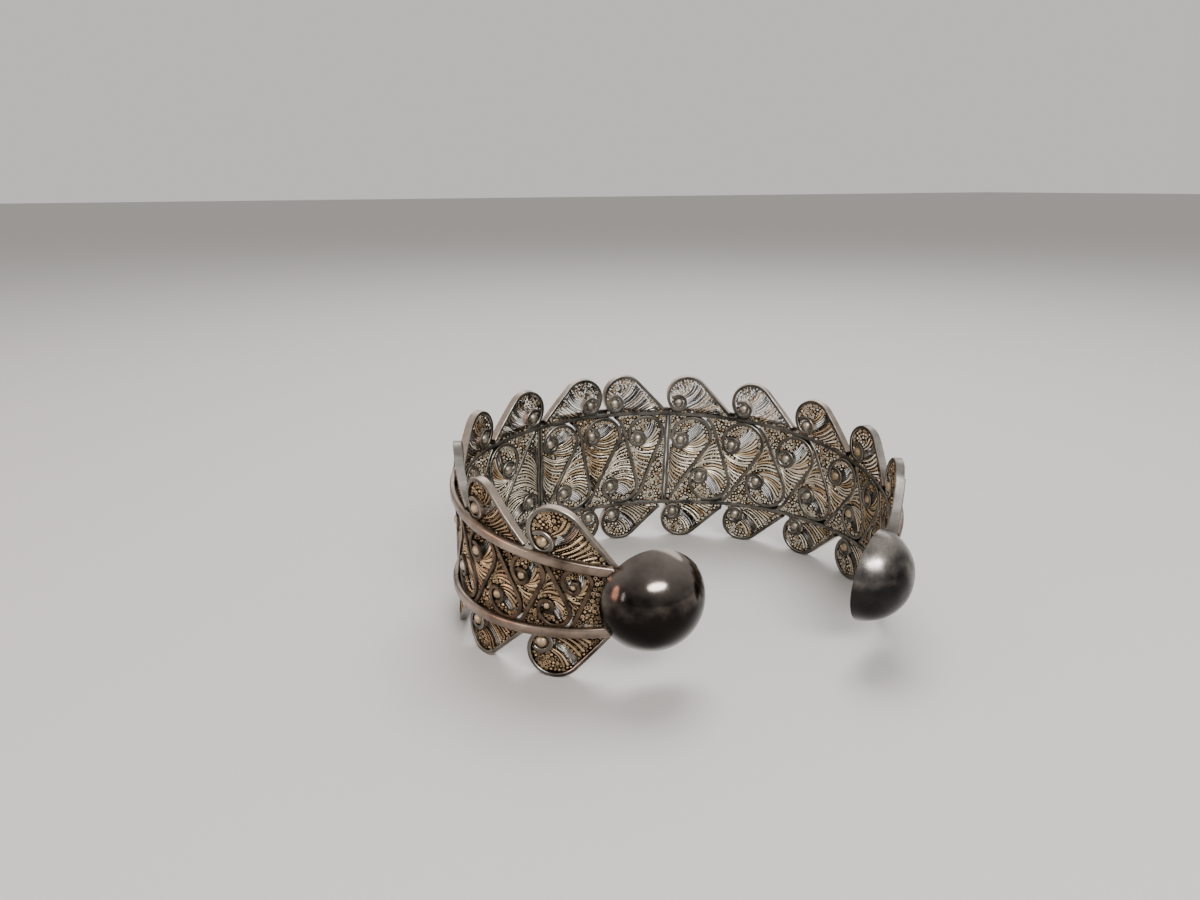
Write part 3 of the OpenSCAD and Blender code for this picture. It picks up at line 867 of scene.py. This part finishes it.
def strap(work, side):
    """What joins the tail of the last upper lobe to the terminal."""
    lobe = Lobe(1 if side < 0 else 2 * LOBES_PER_SIDE, 1)
    leave = around(lobe.c, lobe.r, lobe.leave)
    along = (leave - LOBE_TAIL) / np.linalg.norm(leave - LOBE_TAIL)
    out = around([0, 0], 1, lobe.leave)
    reach, into, half, off, (d0, d1), flare = STRAPS[side]
    at = (reach + into) * np.linspace(0, 1, 28)
    line = LOBE_TAIL + out * off + along * (at - into)[:, None]
    flare = flare * np.exp(-(np.maximum(at - FLARE_FROM, 0) / FLARE_LEN) ** 2)
    section = np.array([
        flat_section(half + FLARE_HALF * k, d0, d1 + FLARE_DEPTH * k, 0.1) for k in flare
    ])
    sweep(work, lobe.to_sz(line), section, 1)


def dome_pieces(name, side):
    """A cap of sheet with a few soft dents, and its flat back."""
    p, h = plan(DOME_AT[side], DOME_SEAT[side])
    out, along = outward(h), np.array([math.cos(float(h)), -math.sin(float(h))])
    ball_r = DOME_R[side] * (1 + DOME_RISE ** 2) / (2 * DOME_RISE)
    drop = ball_r - DOME_RISE * DOME_R[side]
    n_lat, n_lon = 44, 110
    lon = np.linspace(0, 2 * math.pi, n_lon, endpoint=False)[None, :]
    dents = [(rng.uniform(0.1, 1.0), rng.uniform(0, 6.28), rng.uniform(0.14, 0.3),
              rng.uniform(0.015, 0.045)) for _ in range(DENTS)]

    def point(x, z, d):
        q = p + x[..., None] * along + d[..., None] * out
        return in_place(q[..., 0], q[..., 1], z)

    def shell(r, dented):
        phi = np.linspace(0, math.acos(drop / r), n_lat)[:, None]
        rr = np.full((n_lat, n_lon), r)
        for a, b, w, deep in dents if dented else ():
            cos = np.cos(phi) * math.cos(a) + np.sin(phi) * math.sin(a) * np.cos(lon - b)
            rim = 1 - (phi / phi[-1]) ** 6
            rr = rr - deep * rim * np.exp(-(np.arccos(np.clip(cos, -1, 1)) / w) ** 2)
        return point(rr * np.sin(phi) * np.cos(lon), rr * np.sin(phi) * np.sin(lon),
                     rr * np.cos(phi) - drop)

    outer, inner = shell(ball_r, True), shell(ball_r - DOME_WALL, False)
    work = Work()
    strap(work, side)
    work.grid(np.concatenate([outer, inner[::-1]]), 0)
    work.piece(name + "_dome", [DOME[side], STRAP if side > 0 else WORN_METAL], [name])

    r = math.sqrt((ball_r - DOME_WALL) ** 2 - (drop + DOME_WALL) ** 2) - GAP
    rings = [(0.02, DOME_WALL), (r * 0.5, DOME_WALL), (r - 0.05, DOME_WALL), (r, DOME_WALL - 0.05),
             (r, 0.05), (r - 0.05, 0.0), (r * 0.6, 0.0), (r * 0.25, 0.0), (0.02, 0.0)]
    k, d = np.array(rings)[:, :1], np.array(rings)[:, 1:]
    work = Work()
    work.grid(point(k * np.cos(lon), k * np.sin(lon), d + 0 * lon), 0)
    work.piece(name + "_back_plate", [DOME[side]], [name + "_back"])


# Materials

# Where the noise passes from a metal's dark tone to its light one
TONE_EDGES = (0.34, 0.66)


def metal(name, dark, light, roughness, scale, rough_scale=900.0, bump=0.15, metallic=1.0):
    """Tarnished silver: two tones of metal mixed by noise, and a finer noise for its roughness."""
    m = bpy.data.materials.new(name)
    m.use_nodes = True
    nodes, links = m.node_tree.nodes, m.node_tree.links
    bsdf = nodes["Principled BSDF"]
    bsdf.inputs["Metallic"].default_value = metallic
    where = nodes.new("ShaderNodeTexCoord")
    big = nodes.new("ShaderNodeTexNoise")
    big.inputs["Scale"].default_value = scale
    big.inputs["Detail"].default_value = 5.0
    big.inputs["Roughness"].default_value = 0.62
    links.new(where.outputs["Object"], big.inputs["Vector"])
    ramp = nodes.new("ShaderNodeValToRGB")
    for element, edge, tone in zip(ramp.color_ramp.elements, TONE_EDGES, (dark, light)):
        element.position, element.color = edge, (*tone, 1)
    links.new(big.outputs["Fac"], ramp.inputs["Fac"])
    links.new(ramp.outputs["Color"], bsdf.inputs["Base Color"])
    fine = nodes.new("ShaderNodeTexNoise")
    fine.inputs["Scale"].default_value = rough_scale
    fine.inputs["Detail"].default_value = 3.0
    links.new(where.outputs["Object"], fine.inputs["Vector"])
    span = nodes.new("ShaderNodeMapRange")
    span.inputs["To Min"].default_value = roughness[0]
    span.inputs["To Max"].default_value = roughness[1]
    links.new(fine.outputs["Fac"], span.inputs["Value"])
    links.new(span.outputs["Result"], bsdf.inputs["Roughness"])
    b = nodes.new("ShaderNodeBump")
    b.inputs["Strength"].default_value = bump
    b.inputs["Distance"].default_value = 0.00005
    links.new(fine.outputs["Fac"], b.inputs["Height"])
    links.new(b.outputs["Normal"], bsdf.inputs["Normal"])
    return m


# How far the upper edge of the painted shade wanders up and down, in metres
PAINTED_SHADE_WAVE = 0.009


def painted_shade_down(material, low_z, high_z, low_colour, strength):
    """Painted shade: darkens a metal towards its lower side, as a painted dark reflection of what
    lies below.
    """
    nodes, links = material.node_tree.nodes, material.node_tree.links
    bsdf = nodes["Principled BSDF"]
    source = bsdf.inputs["Base Color"].links[0].from_socket
    where = nodes.new("ShaderNodeTexCoord")
    split = nodes.new("ShaderNodeSeparateXYZ")
    links.new(where.outputs["Object"], split.inputs["Vector"])
    noise = nodes.new("ShaderNodeTexNoise")
    noise.inputs["Scale"].default_value = 260.0
    noise.inputs["Detail"].default_value = 6.0
    links.new(where.outputs["Object"], noise.inputs["Vector"])
    wave = nodes.new("ShaderNodeMath")
    wave.operation = "MULTIPLY_ADD"
    wave.inputs[1].default_value = PAINTED_SHADE_WAVE
    links.new(noise.outputs["Fac"], wave.inputs[0])
    links.new(split.outputs["Z"], wave.inputs[2])
    span = nodes.new("ShaderNodeMapRange")
    span.interpolation_type = "SMOOTHSTEP"
    span.inputs["From Min"].default_value = low_z + PAINTED_SHADE_WAVE / 2
    span.inputs["From Max"].default_value = high_z + PAINTED_SHADE_WAVE / 2
    span.inputs["To Min"].default_value = strength
    span.inputs["To Max"].default_value = 0.0
    links.new(wave.outputs["Value"], span.inputs["Value"])
    mix = nodes.new("ShaderNodeMix")
    mix.data_type = "RGBA"
    mix.inputs["B"].default_value = (*low_colour, 1)
    links.new(span.outputs["Result"], mix.inputs["Factor"])
    links.new(source, mix.inputs["A"])
    links.new(mix.outputs["Result"], bsdf.inputs["Base Color"])
    return material


WIRE_METAL = metal("wire_patina", (0.042, 0.04, 0.036), (0.2, 0.185, 0.16), (0.24, 0.44), 300.0)
# Worn edges, lighter also as a painted highlight along the wires' bevels.
WORN_EDGE_GLINT_METAL = metal("wire_edge_worn_glint", (0.10, 0.093, 0.08), (0.46, 0.42, 0.36), (0.3, 0.5), 420.0)
SILVER_METAL = metal("filigree_silver", (0.58, 0.48, 0.35), (1.0, 0.92, 0.77), (0.28, 0.46), 480.0,
                     metallic=0.6)
GOLD_METAL = metal("filigree_gold", (0.24, 0.155, 0.078), (0.74, 0.55, 0.34), (0.32, 0.5), 420.0,
                   metallic=0.6)
AMBER_METAL = metal("filigree_amber", (0.13, 0.082, 0.045), (0.42, 0.3, 0.185), (0.34, 0.52), 420.0,
                    metallic=0.7)
HONEY_METAL = metal("granule_honey", (0.27, 0.2, 0.12), (0.62, 0.49, 0.33), (0.36, 0.54), 500.0,
                    metallic=0.9)
# Painted shade: near black, for the shade between the filling's wires on top of their patina.
RECESS_SHADE_METAL = metal("filigree_recess_shade", (0.03, 0.021, 0.013), (0.1, 0.07, 0.045), (0.55, 0.8),
                     300.0)
GRAIN_METAL = metal("granule_silver", (0.24, 0.21, 0.165), (0.6, 0.54, 0.44), (0.4, 0.56), 500.0)
WORN_METAL = metal("wire_worn", (0.31, 0.245, 0.2), (0.66, 0.54, 0.46), (0.28, 0.46), 240.0)
BROWN_METAL = metal("wire_brown", (0.035, 0.025, 0.018), (0.15, 0.108, 0.075), (0.4, 0.6), 380.0)
RAIL = metal("rail_worn", (0.085, 0.062, 0.046), (0.36, 0.28, 0.225), (0.22, 0.4), 170.0)
STRAP = metal("strap_worn", (0.16, 0.143, 0.13), (0.42, 0.385, 0.35), (0.25, 0.42), 260.0)
DOME_LEFT = metal("dome_left", (0.15, 0.125, 0.11), (0.3, 0.26, 0.23), (0.12, 0.2), 120.0, 500.0,
                  0.05)
DOME_RIGHT = metal("dome_right", (0.13, 0.12, 0.113), (0.47, 0.42, 0.385), (0.19, 0.33), 300.0,
                   900.0, 0.12)
# Painted shade: the terminals' metal darkens towards their lower side.
DOME = {
    -1: painted_shade_down(DOME_LEFT, 0.0108, 0.0172, (0.013, 0.0105, 0.0095), 1.0),
    1: painted_shade_down(DOME_RIGHT, 0.0113, 0.0172, (0.014, 0.0135, 0.0135), 0.97),
}
FILIGREE = [WIRE_METAL, WORN_EDGE_GLINT_METAL, SILVER_METAL, GOLD_METAL, RECESS_SHADE_METAL, GRAIN_METAL,
            WORN_METAL, BROWN_METAL, STRAP, AMBER_METAL, HONEY_METAL]


# Scene

# The camera fitted to the photograph, in the band's own frame: millimetres, radians and pixels
CAMERA_AT = (-51.898, -125.549, 54.910)
CAMERA_YAW, CAMERA_PITCH, CAMERA_ROLL = 0.3893, 0.3698, 0.0258
FOCAL_PX, PHOTO_WIDTH_PX, SENSOR_MM = 874.7, 1200.0, 36.0
# The sky's strength in front of the part and behind it, and what the lights are aimed at
SKY_FRONT, SKY_BACK = 0.42, 0.68
AIM = (0, 0, 0.015)


def camera():
    """Places the photograph's camera."""
    yaw, pitch, roll = CAMERA_YAW, CAMERA_PITCH, CAMERA_ROLL
    fw = Vector((math.sin(yaw) * math.cos(pitch), math.cos(yaw) * math.cos(pitch),
                 -math.sin(pitch)))
    right = Vector((math.cos(yaw), -math.sin(yaw), 0))
    up = right.cross(fw)
    r2 = math.cos(roll) * right + math.sin(roll) * up
    u2 = -math.sin(roll) * right + math.cos(roll) * up
    turn = Matrix((r2, u2, -fw)).transposed()
    lean = Matrix.Rotation(REST_TILT, 3, "X")
    data = bpy.data.cameras.new("camera")
    data.sensor_width = SENSOR_MM
    data.lens = SENSOR_MM * FOCAL_PX / PHOTO_WIDTH_PX
    data.clip_start, data.clip_end = 0.005, 20.0
    cam = bpy.data.objects.new("camera", data)
    m = (lean @ turn).to_4x4()
    m.translation = Vector(in_place(*np.array(CAMERA_AT)).tolist())
    cam.matrix_world = m
    bpy.context.collection.objects.link(cam)
    bpy.context.scene.camera = cam


def area_light(name, at, aim, size, power, colour=(1, 1, 1), mirrored=True, lights=True):
    """A soft light. mirrored: the metal reflects it. lights: it lights matt surfaces."""
    data = bpy.data.lights.new(name, "AREA")
    data.shape = "ELLIPSE"
    data.size, data.size_y = size
    data.energy = power
    data.color = colour
    obj = bpy.data.objects.new(name, data)
    obj.location = at
    obj.rotation_euler = (Vector(aim) - Vector(at)).to_track_quat("-Z", "Y").to_euler()
    obj.visible_glossy = mirrored
    obj.visible_diffuse = lights
    obj.visible_camera = False
    bpy.context.collection.objects.link(obj)


def studio():
    """A pale floor that runs back, and soft light."""
    mesh = bpy.data.meshes.new("floor")
    w = 4.0
    mesh.from_pydata([(-w, -w, 0), (w, -w, 0), (w, w, 0), (-w, w, 0)], [], [(0, 1, 2, 3)])
    floor = bpy.data.objects.new("floor", mesh)
    bpy.context.collection.objects.link(floor)
    m = bpy.data.materials.new("floor_matte")
    m.use_nodes = True
    b = m.node_tree.nodes["Principled BSDF"]
    b.inputs["Base Color"].default_value = (0.56, 0.54, 0.52, 1)
    b.inputs["Roughness"].default_value = 0.6
    b.inputs["Specular IOR Level"].default_value = 0.2
    mesh.materials.append(m)
    world = bpy.data.worlds.new("world")
    bpy.context.scene.world = world
    world.use_nodes = True
    nodes, links = world.node_tree.nodes, world.node_tree.links
    where = nodes.new("ShaderNodeTexCoord")
    split = nodes.new("ShaderNodeSeparateXYZ")
    span = nodes.new("ShaderNodeMapRange")
    span.inputs["From Min"].default_value = -0.8
    span.inputs["From Max"].default_value = 0.6
    span.inputs["To Min"].default_value = SKY_FRONT
    span.inputs["To Max"].default_value = SKY_BACK
    background = nodes["Background"]
    background.inputs["Color"].default_value = (1, 0.98, 0.95, 1)
    links.new(where.outputs["Generated"], split.inputs["Vector"])
    links.new(split.outputs["Y"], span.inputs["Value"])
    links.new(span.outputs["Result"], background.inputs["Strength"])
    area_light("key", (-0.038, -0.343, 0.285), AIM, (0.27, 0.11), 1.8)
    area_light("warm_glow", (-0.428, 0.052, 0.064), AIM, (0.11, 0.2), 0.5, (1, 0.52, 0.38))
    area_light("side_glow", (-0.425, -0.09, 0.085), AIM, (0.035, 0.12), 0.15)
    area_light("backdrop", (0.3, 0.56, 0.5), AIM, (1.3, 0.42), 2.2, lights=False)
    area_light("top", (0.10, 0.16, 0.45), (0, 0, 0.01), (0.3, 0.3), 2.2, mirrored=False)


camera()
studio()
rail_piece(1)
rail_piece(-1)
bar_piece("left_bar", LEFT_BAR_AT)
bar_piece("right_bar", RIGHT_BAR_AT)
dome_pieces("terminal_left", -1)
dome_pieces("terminal_right", 1)
for k in range(1, 2 * LOBES_PER_SIDE + 1):
    lobe_piece(k, 1)
    lobe_piece(k, -1)
for run_name, (_, _, run_rows) in RUNS.items():
    for k in range(1, (len(run_rows) + 1) // 2 + 1):
        scroll_piece(run_name, k)

bpy.context.view_layer.update()
